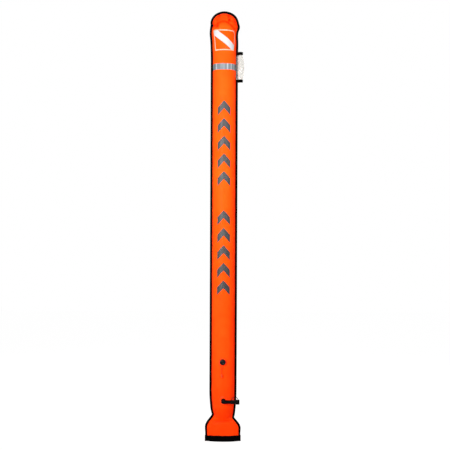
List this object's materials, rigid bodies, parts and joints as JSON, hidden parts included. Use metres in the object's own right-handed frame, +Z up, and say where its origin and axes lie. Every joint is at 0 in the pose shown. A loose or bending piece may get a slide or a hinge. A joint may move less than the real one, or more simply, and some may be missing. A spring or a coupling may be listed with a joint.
{
  "type": "surface marker buoy",
  "caption": "Tall inflated fluorescent fabric tube with a taped edge, duckbill mouth, relief valve with pull cord, push-to-open oral inflator, line ring and clear light sleeve.",
  "frame": {"origin": "middle of the mouth's lower rim, on the tube's axis", "axes": "+Z up the tube, from its mouth to its rounded top; front with the valve and inflator towards -Y; hose, ring and light sleeve on the +X side"},
  "size_m": [0.1584, 0.1203, 1.8],
  "materials": {
    "coated_nylon": "fluorescent coated nylon, slight sheen",
    "weld_film": "smooth welded film, same orange",
    "woven_tape": "black woven webbing and binding tape, matt",
    "reflective_tape": "silver retroreflective tape",
    "clear_vinyl": "clear flexible film",
    "black_plastic": "black moulded plastic, semi-matt",
    "black_rubber": "black rubber",
    "silicone": "grey silicone seal",
    "spring_steel": "drawn stainless wire",
    "stainless_steel": "polished stainless steel",
    "orange_cord": "thin braided cord",
    "orange_plastic": "orange moulded toggle"
  },
  "bodies": {
    "tube": {"front_panel": "coated_nylon", "back_panel": "coated_nylon", "edge_binding": "woven_tape", "mouth_hem_outer": "woven_tape", "mouth_hem_inner_front": "woven_tape", "mouth_hem_inner_back": "woven_tape", "duckbill_flap_front": "weld_film", "duckbill_flap_back": "weld_film", "reflective_band_front": "reflective_tape", "reflective_band_back": "reflective_tape", "light_sleeve": "clear_vinyl", "sleeve_tape_bottom": "woven_tape", "sleeve_tape_top": "woven_tape", "valve_patch": "weld_film", "valve_gasket": "black_rubber", "valve_nut": "black_plastic", "valve_base": "black_plastic", "valve_spring": "spring_steel", "valve_cap": "black_plastic", "inflator_patch": "weld_film", "inflator_gasket": "black_rubber", "inflator_nut": "black_plastic", "inflator_elbow": "black_plastic", "inflator_hose": "black_rubber", "inflator_body": "black_plastic", "inflator_spring": "spring_steel", "ring_tab": "woven_tape"},
    "mouthpiece": {"inflator_tip": "black_plastic", "inflator_stem": "black_plastic", "inflator_seal": "silicone"},
    "poppet": {"valve_poppet": "black_plastic", "valve_seal": "silicone"},
    "pull_line": {"pull_cord": "orange_cord", "pull_toggle": "orange_plastic"},
    "ring": {"line_ring": "stainless_steel"}
  },
  "joints": [
    {"name": "mouthpiece_push", "type": "slide", "parent": "tube", "child": "mouthpiece", "axis": [-1, 0, 0], "range_m": [0, 0.004], "stiffness_N_per_m": 400, "springref_m": -0.005, "deforming": ["inflator_spring"]},
    {"name": "relief_lift", "type": "slide", "parent": "tube", "child": "poppet", "axis": [0, -1, 0], "range_m": [0, 0.002], "stiffness_N_per_m": 300, "springref_m": -0.006, "deforming": ["valve_spring"]},
    {"name": "cord_pull", "type": "slide", "parent": "tube", "child": "pull_line", "axis": [0, 0, -1], "range_m": [0, 0.002]},
    {"name": "ring_swing", "type": "hinge", "parent": "tube", "child": "ring", "pos_m": [0.0499, -0.036, 0.1902], "axis": [1, 0, 0], "range_deg": [-30, 10]}
  ],
  "couplings": [
    {"joint": "cord_pull", "follows": "relief_lift", "ratio": 1}
  ]
}
